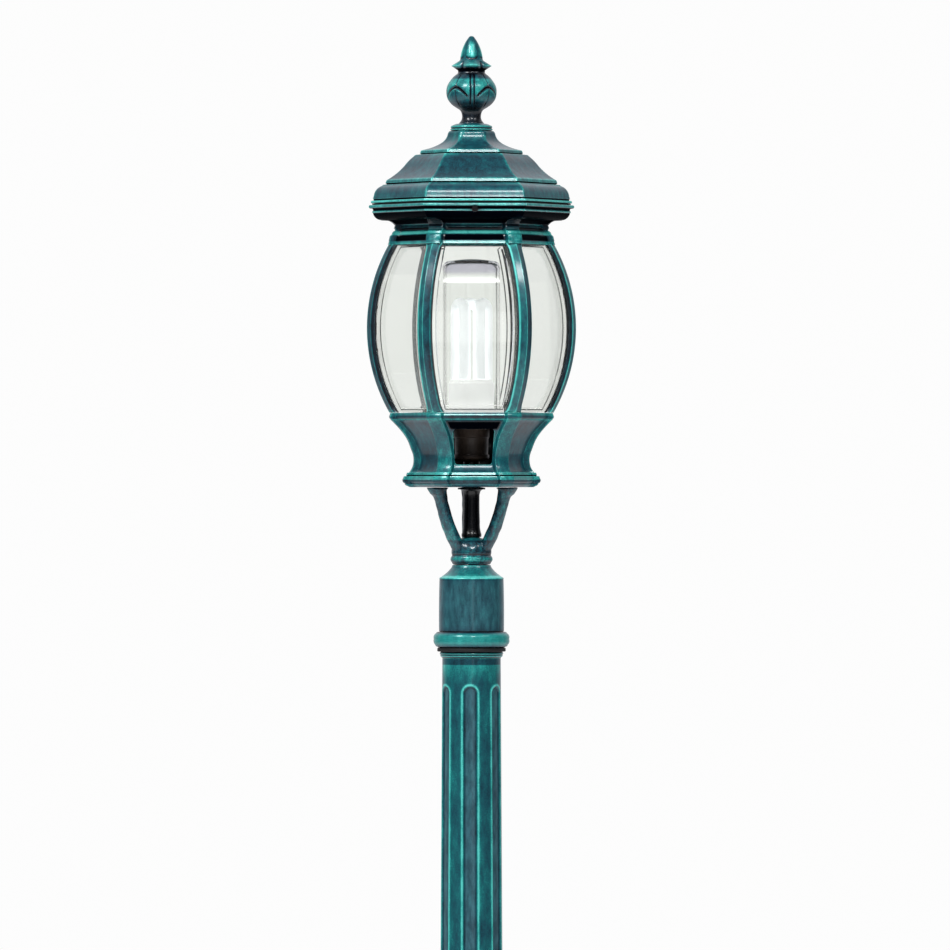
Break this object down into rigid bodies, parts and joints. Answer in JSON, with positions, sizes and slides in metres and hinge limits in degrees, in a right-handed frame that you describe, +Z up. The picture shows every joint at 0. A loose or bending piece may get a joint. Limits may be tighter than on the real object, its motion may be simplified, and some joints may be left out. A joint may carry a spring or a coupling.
{
  "type": "street lamp post",
  "caption": "Lamp post with a fluted tapered column, flanged base, curved-arm bracket, hexagonal bowed-panel lantern with lift-off tiered roof, bud finial, inner jar and lamp.",
  "frame": {"origin": "centre of the base's underside, on the ground", "axes": "+Z up along the column, -Y towards the lantern's front face, +X to the right seen from the front"},
  "size_m": [0.25, 0.25, 2.2],
  "materials": {
    "verdigris_paint": "black base coat with a turquoise-green brushed patina, satin",
    "zinc_steel": "zinc plated",
    "brass": "plain",
    "black_rubber": "matt",
    "black_paint": "black, semi-gloss",
    "brown_bakelite": "moulded",
    "clear_panel": "clear",
    "white_plastic": "moulded",
    "lamp_tube": "opal, lit"
  },
  "bodies": {
    "column": {"base_casting": "verdigris_paint", "anchor_bolt_1": "zinc_steel", "anchor_bolt_2": "zinc_steel", "anchor_bolt_3": "zinc_steel", "anchor_bolt_4": "zinc_steel", "base_grub_screw_1": "zinc_steel", "base_grub_screw_2": "zinc_steel", "pole_shaft": "verdigris_paint", "pole_capital": "verdigris_paint", "collar_gasket": "black_rubber", "supply_cable": "black_rubber", "cable_joint": "black_rubber"},
    "lantern": {"collar_ring": "verdigris_paint", "socket_sleeve": "verdigris_paint", "sleeve_grub_screw_1": "zinc_steel", "sleeve_grub_screw_2": "zinc_steel", "bracket_casting": "verdigris_paint", "bracket_bolt_1": "zinc_steel", "bracket_bolt_2": "zinc_steel", "bracket_bolt_3": "zinc_steel", "wire_conduit": "black_paint", "conduit_nut": "brass", "earth_terminal": "brass", "bell_casting": "verdigris_paint", "lamp_holder": "brown_bakelite", "centre_contact": "brass", "lamp_tray": "verdigris_paint", "jar_ring": "verdigris_paint", "rib_1": "verdigris_paint", "rib_2": "verdigris_paint", "rib_3": "verdigris_paint", "rib_4": "verdigris_paint", "rib_5": "verdigris_paint", "rib_6": "verdigris_paint", "glass_panel_1": "clear_panel", "glass_panel_2": "clear_panel", "glass_panel_3": "clear_panel", "glass_panel_4": "clear_panel", "glass_panel_5": "clear_panel", "glass_panel_6": "clear_panel", "crown_casting": "verdigris_paint", "crown_screw_1": "black_paint", "crown_screw_2": "black_paint", "crown_screw_3": "black_paint", "roof_gasket": "black_rubber"},
    "roof": {"roof_casting": "verdigris_paint", "roof_cap_ring": "verdigris_paint", "finial_stud": "zinc_steel", "stud_nut": "zinc_steel"},
    "finial": {"finial": "verdigris_paint"},
    "jar": {"glass_jar": "clear_panel"},
    "lamp": {"lamp_cap": "brass", "lamp_ballast": "white_plastic", "lamp_tube_1": "lamp_tube", "lamp_tube_2": "lamp_tube", "lamp_tube_3": "lamp_tube"}
  },
  "joints": [
    {"name": "lantern_swivel", "type": "hinge", "parent": "column", "child": "lantern", "pos_m": [0, 0, 1.5593], "axis": [0, 0, 1], "range_deg": [-170, 170]},
    {"name": "roof_lift", "type": "slide", "parent": "lantern", "child": "roof", "axis": [0, 0, 1], "range_m": [0, 0.12]},
    {"name": "finial_turn", "type": "hinge", "parent": "roof", "child": "finial", "pos_m": [0, 0, 2.1103], "axis": [0, 0, 1], "continuous": true},
    {"name": "jar_lift", "type": "slide", "parent": "lantern", "child": "jar", "axis": [0, 0, 1], "range_m": [0, 0.1]},
    {"name": "lamp_lift", "type": "slide", "parent": "lantern", "child": "lamp", "axis": [0, 0, 1], "range_m": [0, 0.027]}
  ]
}
